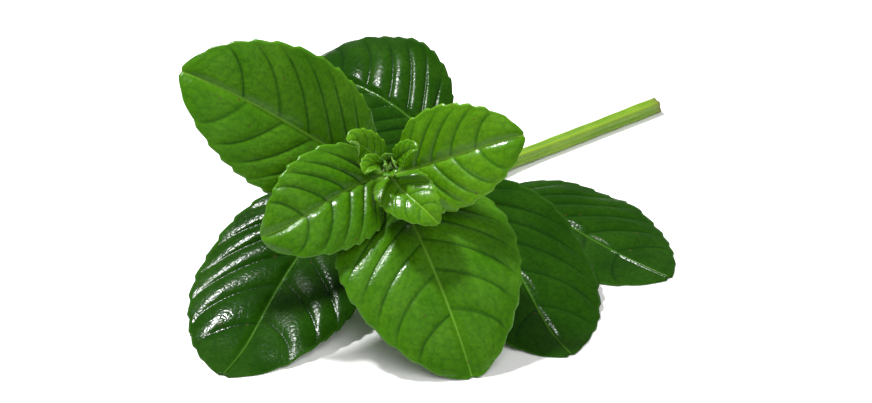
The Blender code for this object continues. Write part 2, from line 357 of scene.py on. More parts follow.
stemShape = {
    "length": 112.0,  # millimetres, from the growing tip back to the cut
    "halfThick": 1.35,
    "tipHalfThick": 0.55,
    "taperLength": 34.0,
    "headSlope": 42.0,
    "riseLength": 88.0,
    "trailAngle": 52.0,
    "trailLength": 84.0,
    "headRoll": 20.0,
    "steps": 44,
    "ringSteps": 420,
    "ringPoints": 48,
    "squareness": 5.0,
    "channelDepth": 0.1,  # hollow along each flat side
    "nodes": (1.0, 3.6, 7.8, 14.5, 31.0, 57.0),  # where the leaf pairs stand
    "nodeSwell": 0.24,
    "nodeLength": 1.9,
    "firstSwollen": 5.0,  # nodes nearer the tip than this don't swell
    "cornerLift": 0.03,
    "unevenness": ((0.02, 0.31, 0.0), (0.015, 0.83, 1.0)),  # size, turn per millimetre, start
    "cornerShow": 0.6,
    "jointShow": 0.45,
    "cutSlant": 0.5,
    "cutSlantLength": 4.0,
    "cutSlantTurn": 0.8,
    "cutRings": ((0.9, -0.05), (0.62, 0.0684), (0.3, 0.126)),  # share of the thickness, depth
    "cutDepth": 0.16,  # at the middle
    "cutBruises": (0.7, 0.15),  # on its first rings
    "bruise": 0.85,  # brown edge of the cut
    "bruiseLength": 1.1,
    "streakStretch": 0.05,  # colour streaks run lengthways
    "streakRound": 2.4,
}
stemSkin = {
    "main": (0.125, 0.235, 0.01), "patch": (0.18, 0.3, 0.018), "dark": (0.06, 0.14, 0.008),
    "streak": (0.065, 0.155, 0.01), "corner": (0.23, 0.33, 0.03),
    "joint": (0.12, 0.14, 0.035), "bruise": (0.11, 0.085, 0.03),
    "streakShare": 0.65, "streakDetail": 3.0, "streakLow": 0.4, "streakHigh": 0.7,
    "roughLow": 0.36, "roughHigh": 0.52, "bump": 0.4, "wrinkleShare": 0.5, "gloss": 0.3,
    "tissue": {"Patch Scale": 210.0, "Speck Scale": 2200.0, "Speck Amount": 0.45},
    "relief": {"Wrinkle Scale": 1500.0, "Grain Scale": 3600.0, "Grain Share": 0.5},
}
cutSkin = {
    "main": (0.36, 0.42, 0.15), "patch": (0.5, 0.52, 0.26), "dark": (0.2, 0.2, 0.07),
    "bruise": (0.16, 0.13, 0.045), "rough": 0.6, "bump": 0.6,
    "tissue": {"Patch Scale": 900.0, "Speck Scale": 5200.0, "Speck Amount": 0.6},
    "relief": {"Wrinkle Scale": 4200.0, "Grain Scale": 8000.0, "Grain Share": 0.4},
}


def ease(amount):
    amount = np.clip(amount, 0.0, 1.0)
    return amount * amount * (3.0 - 2.0 * amount)


def unit(vectors):
    return vectors / np.linalg.norm(vectors, axis=-1, keepdims=True)


def stemHalf(distance):
    span = stemShape["halfThick"] - stemShape["tipHalfThick"]
    grown = np.minimum(distance / stemShape["taperLength"], 1.0)
    return stemShape["tipHalfThick"] + span * grown ** 0.6


def stemAxes(distance):
    slope = math.radians(stemShape["headSlope"]) * (1.0 - ease(distance / stemShape["riseLength"]))
    swing = math.radians(stemShape["trailAngle"]) * ease(distance / stemShape["trailLength"])
    level = math.cos(slope)
    forward = np.array([-math.sin(swing) * level, -math.cos(swing) * level, math.sin(slope)])
    side = np.array([math.cos(swing), -math.sin(swing), 0.0])
    return forward, side, -np.cross(side, forward)


def stemMiddle():
    step = stemShape["length"] / stemShape["steps"]
    points = [np.zeros(3)]
    for index in range(stemShape["steps"]):
        points.append(points[-1] - stemAxes((index + 0.5) * step)[0] * step)
    points = np.array(points)
    low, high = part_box("stem")  # the frame says where the stem lies
    points[:, 2] += low.z / mm + stemShape["halfThick"] - points[-1, 2]
    reach = stemShape["halfThick"]
    trail = math.radians(stemShape["trailAngle"])
    points[:, 0] += high.x / mm - reach * math.cos(trail) - points[:, 0].max()
    points[:, 1] += high.y / mm - reach * math.sin(trail) - points[:, 1].max()
    return points


stemLine = stemMiddle()
stemStations = np.linspace(0.0, stemShape["length"], stemShape["steps"] + 1)


def onStem(distance):
    return np.array([np.interp(distance, stemStations, stemLine[:, axis]) for axis in range(3)])


def shadeSmoothMesh(name, points, faces, materials, faceSlots, masks, node):
    mesh = bpy.data.meshes.new(name)
    mesh.from_pydata((points * mm).tolist(), [], faces)
    for material in materials:
        mesh.materials.append(material)
    mesh.polygons.foreach_set("material_index", faceSlots)
    mesh.polygons.foreach_set("use_smooth", [True] * len(faces))
    for label, values in masks.items():
        layer = mesh.attributes.new(label, "FLOAT", "POINT")
        layer.data.foreach_set("value", np.asarray(values, dtype=np.float32))
    mesh.update()
    piece = bpy.data.objects.new(name, mesh)
    bpy.context.scene.collection.objects.link(piece)
    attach(piece, "root")
    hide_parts(node)
    return piece


def makeStemSkin():
    look = stemSkin
    material, tree, shader = newMaterial("stemSkin")
    tissue = placeGroup(tree, tissueGroup, {
        "Main": look["main"], "Patch": look["patch"], "Dark": look["dark"], **look["tissue"]})
    where = addNode(tree, "ShaderNodeAttribute", attribute_name="along")
    streak = addNode(tree, "ShaderNodeTexNoise")
    streak.inputs["Scale"].default_value = 1.0
    streak.inputs["Detail"].default_value = look["streakDetail"]
    tree.links.new(where.outputs["Vector"], streak.inputs["Vector"])
    streakMask = spread(tree, streak.outputs["Fac"], look["streakLow"], look["streakHigh"])
    streakMask = mathNode(tree, "MULTIPLY", streakMask, look["streakShare"])
    color = mixColor(tree, streakMask, tissue["Color"], look["streak"])
    for label in ("corner", "joint", "bruise"):
        color = mixColor(tree, meshMask(tree, label), color, look[label])
    tree.links.new(color, shader.inputs["Base Color"])
    rough = spread(tree, streak.outputs["Fac"], 0.3, 0.7, look["roughLow"], look["roughHigh"])
    tree.links.new(rough, shader.inputs["Roughness"])
    relief = placeGroup(tree, reliefGroup, look["relief"])
    wrinkles = mathNode(tree, "MULTIPLY", relief["Height"], look["wrinkleShare"])
    height = mathNode(tree, "ADD", wrinkles, streak.outputs["Fac"])
    bump = addNode(tree, "ShaderNodeBump")
    bump.inputs["Strength"].default_value = look["bump"]
    bump.inputs["Distance"].default_value = sharedSkin["bumpDepth"]
    tree.links.new(height, bump.inputs["Height"])
    tree.links.new(bump.outputs[0], shader.inputs["Normal"])
    shader.inputs["Specular IOR Level"].default_value = look["gloss"]
    return material


def makeCutFace():
    look = cutSkin
    material, tree, shader = newMaterial("stemCut")
    tissue = placeGroup(tree, tissueGroup, {
        "Main": look["main"], "Patch": look["patch"], "Dark": look["dark"], **look["tissue"]})
    color = mixColor(tree, meshMask(tree, "bruise"), tissue["Color"], look["bruise"])
    tree.links.new(color, shader.inputs["Base Color"])
    shader.inputs["Roughness"].default_value = look["rough"]
    relief = placeGroup(tree, reliefGroup, look["relief"])
    bump = addNode(tree, "ShaderNodeBump")
    bump.inputs["Strength"].default_value = look["bump"]
    bump.inputs["Distance"].default_value = sharedSkin["bumpDepth"]
    tree.links.new(relief["Height"], bump.inputs["Height"])
    tree.links.new(bump.outputs[0], shader.inputs["Normal"])
    return material


def stemRing(distance, turns):
    # a square with rounded corners and hollowed sides, thicker at the nodes
    shape = stemShape
    power = shape["squareness"]
    forward, side, up = stemAxes(distance)
    roll = math.radians(shape["headRoll"]) * (1.0 - distance / shape["length"])
    swollen = [node for node in shape["nodes"] if node > shape["firstSwollen"]]
    swell = sum(math.exp(-((distance - node) / shape["nodeLength"]) ** 2) for node in swollen)
    half = stemHalf(distance) * (1.0 + shape["nodeSwell"] * swell)
    uneven = 1.0
    for size, pitch, begin in shape["unevenness"]:
        uneven += size * math.sin(distance * pitch + begin)
    half *= uneven
    squared = np.abs(np.cos(turns)) ** power + np.abs(np.sin(turns)) ** power
    flat = np.cos(4.0 * turns)  # 1 in the middle of a side, -1 at a corner
    reach = half / squared ** (1.0 / power)
    reach = reach - shape["channelDepth"] * half * np.clip(flat, 0.0, 1.0) ** 2
    reach = reach + shape["cornerLift"] * half * np.clip(-flat, 0.0, 1.0) ** 4
    angle = turns + roll
    ring = onStem(distance)
    ring = ring + np.outer(np.cos(angle) * reach, side) + np.outer(np.sin(angle) * reach, up)
    nearCut = ease((distance - shape["length"] + shape["cutSlantLength"]) / shape["cutSlantLength"])
    ring = ring + np.outer(shape["cutSlant"] * np.cos(turns - shape["cutSlantTurn"]) * nearCut, forward)
    corner = np.clip(-flat, 0.0, 1.0) ** 3 * shape["cornerShow"]
    joint = np.full(len(turns), min(swell, 1.0) * shape["jointShow"])
    bruise = shape["bruise"] * math.exp(-(shape["length"] - distance) / shape["bruiseLength"])
    streak = np.stack([np.full(len(turns), distance * shape["streakStretch"]),
                       np.cos(turns) * shape["streakRound"], np.sin(turns) * shape["streakRound"]], 1)
    return ring, corner, joint, np.full(len(turns), bruise), streak


def bandFaces(upperStart, lowerStart, count):
    faces = []
    for column in range(count):
        after = (column + 1) % count
        faces.append((upperStart + after, upperStart + column, lowerStart + column, lowerStart + after))
    return faces


def makeStem():
    shape = stemShape
    count = shape["ringPoints"]
    turns = np.linspace(0.0, 2.0 * math.pi, count, endpoint=False)
    distances = np.linspace(0.0, shape["length"], shape["ringSteps"] + 1)
    rings, corners, joints, bruises, streaks = zip(*(stemRing(distance, turns) for distance in distances))
    faces = []
    for row in range(len(rings) - 1):
        faces += bandFaces(row * count, (row + 1) * count, count)
    slots = [0] * len(faces)
    points = np.concatenate(rings)
    # the cut face: rings that step inwards, a little hollow in the middle
    start = len(points)
    centre = rings[-1].mean(0)
    backward = -stemAxes(shape["length"])[0]
    cutRings = []
    for share, dent in shape["cutRings"]:
        cutRings.append(centre + (rings[-1] - centre) * share - backward * dent)
    points = np.concatenate([points, *cutRings, (centre - backward * shape["cutDepth"])[None, :]])
    last = start - count
    for level in range(len(cutRings)):
        faces += bandFaces(last, start + level * count, count)
        last = start + level * count
    for column in range(count):
        faces.append((last + (column + 1) % count, last + column, len(points) - 1))
    slots += [1] * (len(faces) - len(slots))
    # the tip end
    faces.append(tuple(range(count)))
    slots.append(0)
    added = len(points) - start
    pad = np.zeros(added)
    cutBruise = np.zeros(added)
    cutBruise[:2 * count] = np.repeat(shape["cutBruises"], count)
    masks = {"corner": np.concatenate([*corners, pad]), "joint": np.concatenate([*joints, pad]),
             "bruise": np.concatenate([*bruises, cutBruise])}
    materials = (makeStemSkin(), makeCutFace())
    piece = shadeSmoothMesh("stemFine", points, faces, materials, slots, masks, "stem")
    layer = piece.data.attributes.new("along", "FLOAT_VECTOR", "POINT")
    vectors = np.concatenate([*streaks, np.zeros((added, 3))])
    layer.data.foreach_set("vector", vectors.astype(np.float32).ravel())


makeStem()
print("stem made")


# leaves: what every leaf shares

leafShape = {
    "baseRound": 0.60,  # below 1 the base is rounder
    "tipRound": 0.7,
    "veinSweep": 0.38,  # below 1 the side veins meet the edge further forward
    "veinBend": 2.0,
    "veinSlant": 0.68,  # share of the sweep that is straight, the rest bends forward
    "openLength": 0.18,  # share of the blade over which it opens out flat
    "crowding": 2.1,
    "lastStation": 0.99,
    "lineEven": 0.55,  # the lines across are evenly spaced by this share
    "lineCrowd": 0.45,
    "crowdPower": 1.6,
    "lineStart": 0.35,  # below 1 the lines are closer near the midrib
    "stalkHalfWidth": 0.72,
    "stalkOverlap": 0.6,  # added to the petiole for the part inside the stem
    "bladeThick": 0.30,
    "ribDepth": 1.0,
    "groundBlend": 1.0,
    "fullWidth": 20.0,  # narrower leaves have finer relief
    "sideVeins": {  # where they leave the midrib, for leaves of up to each width
        12.0: (0.07, 0.24, 0.45, 0.68),
        24.0: (0.045, 0.15, 0.285, 0.45, 0.65),
        99.0: (0.03, 0.11, 0.215, 0.345, 0.5, 0.685),
    },
}
toothShape = {
    "peak": 0.78,  # share of a tooth that rises towards the tip
    "risePower": 0.9,
    "crowding": 0.92,
    "outOfStep": 0.35,  # between the two edges
    "uneven": 0.25,
    "band": 0.72,  # teeth start this far out
    "bareBase": 0.16,
    "shortTip": 0.12,
    "tipShare": 0.35,
}
waveShape = {  # slow waves near the edge
    "strength": 0.6,
    "edgePower": 2.5,
    "slowTurns": 11.0,
    "slowSpread": 3.0,
    "quickTurns": 23.0,
    "quickShare": 0.5,
}
stalkShape = {
    "leastHalf": 0.3,
    "flare": 0.45,  # at the foot
    "flareLength": 1.2,
    "topHeight": 0.35,  # shares of its half width
    "channelDepth": 0.32,
    "channelHalf": 0.4,
    "underside": 1.35,
    "joinEnd": 0.05,  # share of the blade over which the stalk turns into it
    "joinLength": 0.06,
}
veinShape = {  # heights and half widths in millimetres
    "cushionPower": 2.1,
    "edgeStart": 0.55,  # cushions flatten from here to the edge
    "edgeLoss": 0.8,
    "midBand": 1.6,
    "lineHalf": 0.2,
    "grooveHalf": 0.45,
    "grooveDepth": 0.1,
    "underVeinHalf": 0.4,
    "underVeinHeight": 0.22,
    "channelHalf": 0.5,
    "channelDepth": 0.3,
    "midLineHalf": 0.22,
    "channelFade": 0.6,
    "ribFade": 0.72,  # towards the tip
    "outOfStep": 0.012,  # between the veins of the two halves
    "stray": 0.76,  # cells of the net are this far out of line, as shares of a cell
    "netLine": 0.16,
    "domeWidth": 0.75,
    "domePower": 0.7,
    "fineCell": 0.45,
    "fineDomeWidth": 0.34,
    "fineDomePower": 0.8,
    "fineShare": 0.35,
}
rimShape = {"start": 0.955, "width": 0.04, "strength": 0.4}
leafDefaults = {  # what a leaf has unless its own dictionary says otherwise
    "rooting": 0.4, "stations": 170, "across": 24, "baseShape": 1.0, "tipShape": 1.0, "toothDepth": 0.5,
    "wave": 0.5, "quilt": 0.28, "cell": 2.1, "netHeight": 0.035, "midribShow": 0.6,
}


def easeToGround(height):
    blend = leafShape["groundBlend"]
    curve = (height + blend) ** 2 / (4.0 * blend)
    return np.where(height <= -blend, 0.0, np.where(height >= blend, height, curve))


def midribLine(leaf):
    forward, side, up = stemAxes(leaf["node"])
    angle = math.radians(leaf["angle"])
    outward = side * math.cos(angle) + up * math.sin(angle)
    foot = onStem(leaf["node"]) + outward * stemHalf(leaf["node"]) * leaf["rooting"]
    tip = np.array([stemLine[0, 0] + leaf["tip"][0], stemLine[0, 1] + leaf["tip"][1], leaf["tip"][2]])
    pull = np.linalg.norm(tip - foot)
    leave = unit(np.array(leaf["start"], float)) * pull
    arrive = unit(np.array(leaf["end"], float)) * pull
    s = np.linspace(0.0, 1.0, 401)[:, None]
    line = (foot * (2 * s**3 - 3 * s**2 + 1) + leave * (s**3 - 2 * s**2 + s)
            + tip * (3 * s**2 - 2 * s**3) + arrive * (s**3 - s**2))
    walked = np.concatenate([[0.0], np.cumsum(np.linalg.norm(np.diff(line, axis=0), axis=1))])
    return line, walked


def readLine(line, walked, distance):
    return np.stack([np.interp(distance, walked, line[:, axis]) for axis in range(3)], -1)


def netGap(x, y, cell, seed):
    # distance to the nearest cell border, for points given in millimetres
    rng = np.random.default_rng(seed)
    columns = int((x.max() - x.min()) / cell) + 3
    rows = int((y.max() - y.min()) / cell) + 3
    grid = np.stack(np.meshgrid(np.arange(columns), np.arange(rows), indexing="ij"), -1).reshape(-1, 2)
    stray = veinShape["stray"]
    centres = (grid + (1.0 - stray) / 2 + stray * rng.random(grid.shape)) * cell
    centres += np.array([x.min() - cell, y.min() - cell])
    flat = np.stack([x.ravel(), y.ravel()], -1)
    gap = np.empty(len(flat))
    for begin in range(0, len(flat), 4000):
        part = flat[begin:begin + 4000]
        distance = np.sqrt(((part[:, None, :] - centres[None]) ** 2).sum(-1))
        nearest = np.partition(distance, 1, axis=1)[:, :2]
        gap[begin:begin + 4000] = nearest[:, 1] - nearest[:, 0]
    return gap.reshape(x.shape)


def leafGrid(leaf, stalk, blade):
    # rows along the leaf, and lines across it that follow the side veins
    shape = leafShape
    rows = (shape["lastStation"] * np.linspace(0.0, 1.0, leaf["stations"]) ** shape["crowding"])[:, None]
    stalkRows = np.linspace(-stalk / blade, 0.0, max(6, int(stalk * 3)), endpoint=False)
    steps = np.linspace(0.0, 1.0, leaf["across"] + 1)
    crowded = 1.0 - (1.0 - steps) ** shape["crowdPower"]
    lines = shape["lineEven"] * steps + shape["lineCrowd"] * crowded
    lines = lines * (shape["lineStart"] + (1.0 - shape["lineStart"]) * steps)
    lines[-1] = 1.0
    lines = np.concatenate([-lines[:0:-1], lines])[None, :]
    outward = np.abs(lines)
    sweep = shape["veinSlant"] * outward + (1.0 - shape["veinSlant"]) * outward ** shape["veinBend"]
    onBlade = rows + (rows ** shape["veinSweep"] - rows) * sweep
    onStalk = np.repeat(stalkRows[:, None], lines.shape[1], axis=1)
    place = np.concatenate([onStalk, onBlade])  # share of the blade, below 0 on the stalk
    row = np.concatenate([onStalk * 0.0, np.repeat(rows, lines.shape[1], axis=1)])
    across = np.repeat(lines, len(place), axis=0)  # -1 at the left edge, 1 at the right
    return place, row, across, np.repeat(sweep, len(place), axis=0)


def leafOutline(leaf, place, across, wobble):
    # half width, with teeth that point towards the tip
    shape, tooth = leafShape, toothShape
    inBlade = np.clip(place, 0.0, 1.0)
    baseRound = shape["baseRound"] * leaf["baseShape"]
    tipRound = shape["tipRound"] * leaf["tipShape"]
    widest = baseRound / (baseRound + tipRound)
    bulge = (inBlade / widest) ** baseRound * ((1.0 - inBlade) / (1.0 - widest)) ** tipRound
    footHalf = min(shape["stalkHalfWidth"], 0.07 * leaf["width"]) * (1.0 - 0.8 * inBlade)
    half = np.hypot(0.5 * leaf["width"] * bulge, footHalf)
    nearTip = ease((1.0 - inBlade) / tooth["shortTip"])
    depth = leaf["toothDepth"] * ease(inBlade / tooth["bareBase"])
    depth = depth * (tooth["tipShare"] + (1.0 - tooth["tipShare"]) * nearTip)
    depth = depth * ease((np.abs(across) - tooth["band"]) / (1.0 - tooth["band"]))
    for sign in (-1, 1):
        uneven = tooth["uneven"] * np.sin(inBlade * 9.0 + wobble[0] * 6.0 + sign)
        phase = inBlade ** tooth["crowding"] * leaf["teeth"] + tooth["outOfStep"] * sign + uneven
        saw = phase - np.floor(phase)
        rise = (saw / tooth["peak"]) ** tooth["risePower"]
        saw = np.where(saw < tooth["peak"], rise, (1.0 - saw) / (1.0 - tooth["peak"]))
        half = np.where((np.sign(across) == sign) & (place > 0), half + depth * (saw - 0.5), half)
    return half, footHalf


def midribFrame(leaf, line, walked, distance):
    length = walked[-1]
    here = readLine(line, walked, distance)
    ahead = readLine(line, walked, np.minimum(distance + 0.5, length))
    behind = readLine(line, walked, np.maximum(distance - 0.5, 0.0))
    tangent = unit(ahead - behind)
    blend = ease(distance / length)[..., None]
    face = np.array(leaf["face"]) * (1.0 - blend) + np.array(leaf["faceTip"]) * blend
    normal = unit(face - tangent * (face * tangent).sum(-1, keepdims=True))
    return here, normal, np.cross(normal, tangent)


def veinGap(leaf, blade, row, across, sweep):
    # millimetres to the nearest side vein, and the place between two of them
    veins = next(places for limit, places in leafShape["sideVeins"].items() if leaf["width"] <= limit)
    marks = np.concatenate([[-0.03], np.array(veins), [1.03]])
    shifted = np.clip(row + veinShape["outOfStep"] * np.sign(across), 0.0, 1.0)
    slot = np.clip(np.searchsorted(marks, shifted) - 1, 0, len(marks) - 2)
    lowMark, highMark = marks[slot], marks[slot + 1]
    gap = np.minimum(shifted - lowMark, highMark - shifted) * blade * 0.75
    # the lines crowd near the base, so a millimetre is worth more of them there
    power = leafShape["veinSweep"]
    stretch = 1.0 + (power * np.maximum(row, 0.004) ** (power - 1.0) - 1.0) * sweep
    return gap * np.clip(stretch, 0.4, 4.0), (shifted - lowMark) / (highMark - lowMark)


def bellCurve(distance, halfWidth):
    return np.exp(-((distance / halfWidth) ** 2))


def leafSheets(leaf):
    shape, vein, wave, foot = leafShape, veinShape, waveShape, stalkShape
    line, walked = midribLine(leaf)
    stalk = leaf["petiole"] + shape["stalkOverlap"]
    blade = walked[-1] - stalk
    scale = min(1.0, leaf["width"] / shape["fullWidth"]) ** 0.8
    wobble = np.random.default_rng(leaf["seed"]).random(4)
    place, row, across, sweep = leafGrid(leaf, stalk, blade)
    half, footHalf = leafOutline(leaf, place, across, wobble)
    inBlade = np.clip(place, 0.0, 1.0)
    outward = np.abs(across)
    hand = np.sign(across)
    distance = stalk + place * blade
    here, normal, sideways = midribFrame(leaf, line, walked, distance)

    # fold and curl of the two halves
    opening = ease(place / shape["openLength"])
    fold = np.radians(leaf["fold"]) * opening
    curl = np.radians(leaf["curl"]) * opening + 0.001
    slope = fold - curl * outward
    reach = half * (np.sin(fold) - np.sin(slope)) / curl
    rise = half * (np.cos(slope) - np.cos(fold)) / curl
    bladeNormal = normal * np.cos(slope)[..., None] - sideways * (hand * np.sin(slope))[..., None]
    base = here + sideways * (hand * reach)[..., None] + normal * rise[..., None]

    slowTurns = wave["slowTurns"] + wave["slowSpread"] * wobble[1]
    slow = np.sin(inBlade * slowTurns + 2.0 * hand + wobble[2] * 6.0)
    quick = np.sin(inBlade * wave["quickTurns"] + wobble[3] * 6.0 + hand)
    waves = wave["strength"] * leaf["wave"] * scale * outward ** wave["edgePower"] * opening
    waves = waves * (slow + wave["quickShare"] * quick)

    # cushions between the side veins
    gap, between = veinGap(leaf, blade, row, across, sweep)
    body = opening * ease((1.0 - inBlade) / 0.08)
    cushion = 1.0 - np.abs(2.0 * between - 1.0) ** vein["cushionPower"]
    edgeFade = 1.0 - ease((outward - vein["edgeStart"]) / (1.0 - vein["edgeStart"])) * vein["edgeLoss"]
    midFade = ease(outward * half / (vein["midBand"] * scale))
    height = leaf["quilt"] * scale * cushion * edgeFade * midFade * body
    shadedGroove = bellCurve(gap, vein["grooveHalf"] * scale) * body * edgeFade
    height = height - vein["grooveDepth"] * scale * shadedGroove
    # where the side vein lines run: the upper skin paints shade there, the underside a lighter vein
    # colour
    sideMask = bellCurve(gap, vein["lineHalf"] * scale) * body * (1.0 - ease((outward - 0.7) / 0.3))

    # the small net of veins, in two sizes
    cell = leaf["cell"] * max(scale, 0.5)
    crossMm = across * half
    alongMm = inBlade * blade
    net = netGap(alongMm * 0.95 + 0.5 * np.abs(crossMm), crossMm, cell, leaf["seed"] + 7)
    fine = netGap(alongMm, crossMm, cell * vein["fineCell"], leaf["seed"] + 19)
    dome = np.clip(net / (vein["domeWidth"] * cell), 0.0, 1.0) ** vein["domePower"]
    fineDome = np.clip(fine / (vein["fineDomeWidth"] * cell), 0.0, 1.0) ** vein["fineDomePower"]
    netFade = body * midFade * (1.0 - 0.6 * ease((outward - 0.8) / 0.2))
    height = height + leaf["netHeight"] * scale * (dome + vein["fineShare"] * fineDome) * netFade
    # the net lines: painted shade on the upper skin, a lighter vein colour on the underside
    netMask = bellCurve(net, vein["netLine"] * cell) * netFade

    # the midrib: a channel above, a round rib below
    crossAbs = outward * half
    channel = bellCurve(crossAbs, vein["channelHalf"] * scale)
    height = height - vein["channelDepth"] * scale * channel * (1.0 - vein["channelFade"] * inBlade)
    midMask = bellCurve(crossAbs, vein["midLineHalf"] * scale * (1.0 - 0.5 * inBlade))
    rib = np.sqrt(np.clip(1.0 - (crossMm / (footHalf * 1.15)) ** 2, 0.0, 1.0))
    thick = shape["bladeThick"] * (0.45 + 0.55 * scale)
    thick = thick * (1.0 - 0.45 * ease((outward - 0.85) / 0.15) * opening)
    under = thick + shape["ribDepth"] * scale * (1.0 - vein["ribFade"] * inBlade) * rib
    underVein = bellCurve(gap, vein["underVeinHalf"] * scale) * body * edgeFade
    under = under + vein["underVeinHeight"] * scale * underVein
    upper = base + bladeNormal * (height + waves)[..., None]
    lower = base + bladeNormal * (height * 0.85 + waves - under)[..., None]

    # the stalk is round, a little channelled on top, and wider at its foot
    stalkShare = 1.0 - ease((place + foot["joinLength"] - foot["joinEnd"]) / foot["joinLength"])
    turn = across * math.pi / 2
    flare = foot["flare"] * np.exp(-(distance / foot["flareLength"]))
    stalkHalf = np.maximum(footHalf, foot["leastHalf"]) * (1.0 + flare)
    channel = foot["channelDepth"] * bellCurve(across, foot["channelHalf"])
    top = (foot["topHeight"] * np.cos(turn) - channel) * stalkHalf
    bottom = (foot["underside"] * np.cos(turn) + 0.02) * stalkHalf
    middleLine = here + sideways * (np.sin(turn) * stalkHalf)[..., None]
    share = stalkShare[..., None]
    upper = upper * (1.0 - share) + (middleLine + normal * top[..., None]) * share
    lower = lower * (1.0 - share) + (middleLine - normal * bottom[..., None]) * share

    lift = np.maximum(easeToGround(lower[..., 2]) - lower[..., 2], 0.0)
    upper[..., 2] += lift
    lower[..., 2] += lift

    bladeShare = 1.0 - stalkShare
    rim = ease((outward - rimShape["start"]) / rimShape["width"]) * opening * rimShape["strength"]
    masks = {
        "midVein": np.clip(midMask * leaf["midribShow"] * bladeShare + stalkShare * 0.9, 0.0, 1.0),
        "sideVein": sideMask * bladeShare,
        "netVein": netMask * bladeShare,
        "rim": rim * bladeShare,
    }
    return upper, lower, masks


def edgeQuads(first, second, shift):
    return np.stack([first, second, second + shift, first + shift], -1)


def sheetFaces(rows, columns, offset):
    # quads of the upper sheet, the under sheet, the two edges, and the end caps
    index = np.arange(rows * columns).reshape(rows, columns)
    a, b, c, d = index[:-1, :-1], index[1:, :-1], index[1:, 1:], index[:-1, 1:]
    shift = rows * columns
    upper = np.stack([a, d, c, b], -1).reshape(-1, 4)
    lower = np.stack([a, b, c, d], -1).reshape(-1, 4) + shift
    left = edgeQuads(index[:-1, 0], index[1:, 0], shift)
    right = edgeQuads(index[1:, -1], index[:-1, -1], shift)
    firstRow = edgeQuads(index[0, 1:], index[0, :-1], shift)
    lastRow = edgeQuads(index[-1, :-1], index[-1, 1:], shift)
    faces = np.concatenate([upper, lower, left, right, firstRow, lastRow]) + offset
    slots = [0] * len(upper) + [1] * len(lower)
    slots += [0] * (len(faces) - len(slots))
    return faces.tolist(), slots


def makeLeaf(name, node, leaves):
    points, faces, slots = [], [], []
    masks = {"midVein": [], "sideVein": [], "netVein": [], "rim": []}
    offset = 0
    for leaf in leaves:
        upper, lower, leafMasks = leafSheets({**leafDefaults, **leaf})
        rows, columns = upper.shape[:2]
        newFaces, newSlots = sheetFaces(rows, columns, offset)
        points += [upper.reshape(-1, 3), lower.reshape(-1, 3)]
        faces += newFaces
        slots += newSlots
        for label in masks:
            masks[label] += [leafMasks[label].ravel()] * 2
        offset += 2 * rows * columns
    masks = {label: np.concatenate(values) for label, values in masks.items()}
    materials = skins[leaves[0]["skin"]]
    shadeSmoothMesh(name, np.concatenate(points), faces, materials, slots, masks, node)


# each leaf: node in millimetres down the stem, angle round it, tip measured from the growing tip in
# plan and from the surface in height, and the way its midrib and its face look at both ends

# first pair, just opened at the tip

leafOneLeft = {
    "node": 1.0, "angle": 200, "tip": (-4.4, -5.0, 33.2),
    "start": (-0.8, -0.3, 0.5), "end": (-0.4, -1.0, -0.4),
    "face": (0.5, -0.6, 0.6), "faceTip": (-0.1, -0.5, 0.9),
    "petiole": 0.4, "width": 4.6, "fold": 30, "curl": 24, "skin": "young", "seed": 11,
    "teeth": 6, "toothDepth": 0.25, "stations": 60, "across": 12,
}
makeLeaf("leafOneLeft", "leaf_1_left", [leafOneLeft])

leafOneRight = {
    "node": 1.0, "angle": 20, "tip": (5.4, -1.8, 36.4),
    "start": (0.8, 0.0, 0.7), "end": (0.8, -0.7, 0.1),
    "face": (-0.6, -0.6, 0.5), "faceTip": (-0.1, -0.5, 0.9),
    "petiole": 0.4, "width": 4.8, "fold": 30, "curl": 24, "skin": "young", "seed": 12,
    "teeth": 6, "toothDepth": 0.25, "stations": 60, "across": 12,
}
makeLeaf("leafOneRight", "leaf_1_right", [leafOneRight])

# second pair

leafTwoFront = {
    "node": 3.6, "angle": 296, "tip": (9.3, -9.4, 24.8),
    "start": (0.2, -0.85, -0.2), "end": (0.6, -0.2, -0.8),
    "face": (0.0, -0.6, 0.8), "faceTip": (0.3, -0.9, 0.4),
    "petiole": 0.4, "width": 10.6, "fold": 16, "curl": 26, "skin": "young", "seed": 21,
    "teeth": 8, "toothDepth": 0.35, "stations": 100, "across": 16, "baseShape": 0.62,
    "wave": 0.05, "quilt": 0.15,
}
makeLeaf("leafTwoFront", "leaf_2_front", [leafTwoFront])

leafTwoBack = {
    "node": 3.6, "angle": 128, "tip": (-7.2, 0.2, 37.0),
    "start": (-0.7, 0.3, 0.8), "end": (-0.3, -0.7, 0.3),
    "face": (0.4, -0.7, 0.4), "faceTip": (-0.3, -0.6, 0.8),
    "petiole": 0.8, "width": 7.0, "fold": 26, "curl": 34, "skin": "young", "seed": 22,
    "teeth": 7, "toothDepth": 0.35, "stations": 80, "across": 14,
}
makeLeaf("leafTwoBack", "leaf_2_back", [leafTwoBack])

# third pair

leafThreeRight = {
    "node": 7.8, "angle": 14, "tip": (25.2, 0.6, 38.2),
    "start": (0.8, -0.3, 0.4), "end": (0.95, 0.3, 0.1),
    "face": (-0.1, -0.8, 0.6), "faceTip": (0.1, -0.8, 0.6),
    "petiole": 0.9, "width": 20.0, "fold": 13, "curl": 20, "skin": "young", "seed": 31,
    "teeth": 9, "quilt": 0.26, "baseShape": 0.8,
}
makeLeaf("leafThreeRight", "leaf_3_right", [leafThreeRight])

leafThreeLeft = {
    "node": 7.8, "angle": 205, "tip": (-23.8, -8.2, 21.4),
    "start": (-0.8, -0.5, 0.2), "end": (-0.9, 0.2, -0.4),
    "face": (0.0, -0.8, 0.6), "faceTip": (-0.2, -0.85, 0.5),
    "petiole": 0.9, "width": 20.0, "fold": 13, "curl": 22, "skin": "mature", "seed": 32,
    "teeth": 9, "quilt": 0.36, "baseShape": 0.8,
}
makeLeaf("leafThreeLeft", "leaf_3_left", [leafThreeLeft])

# fourth pair

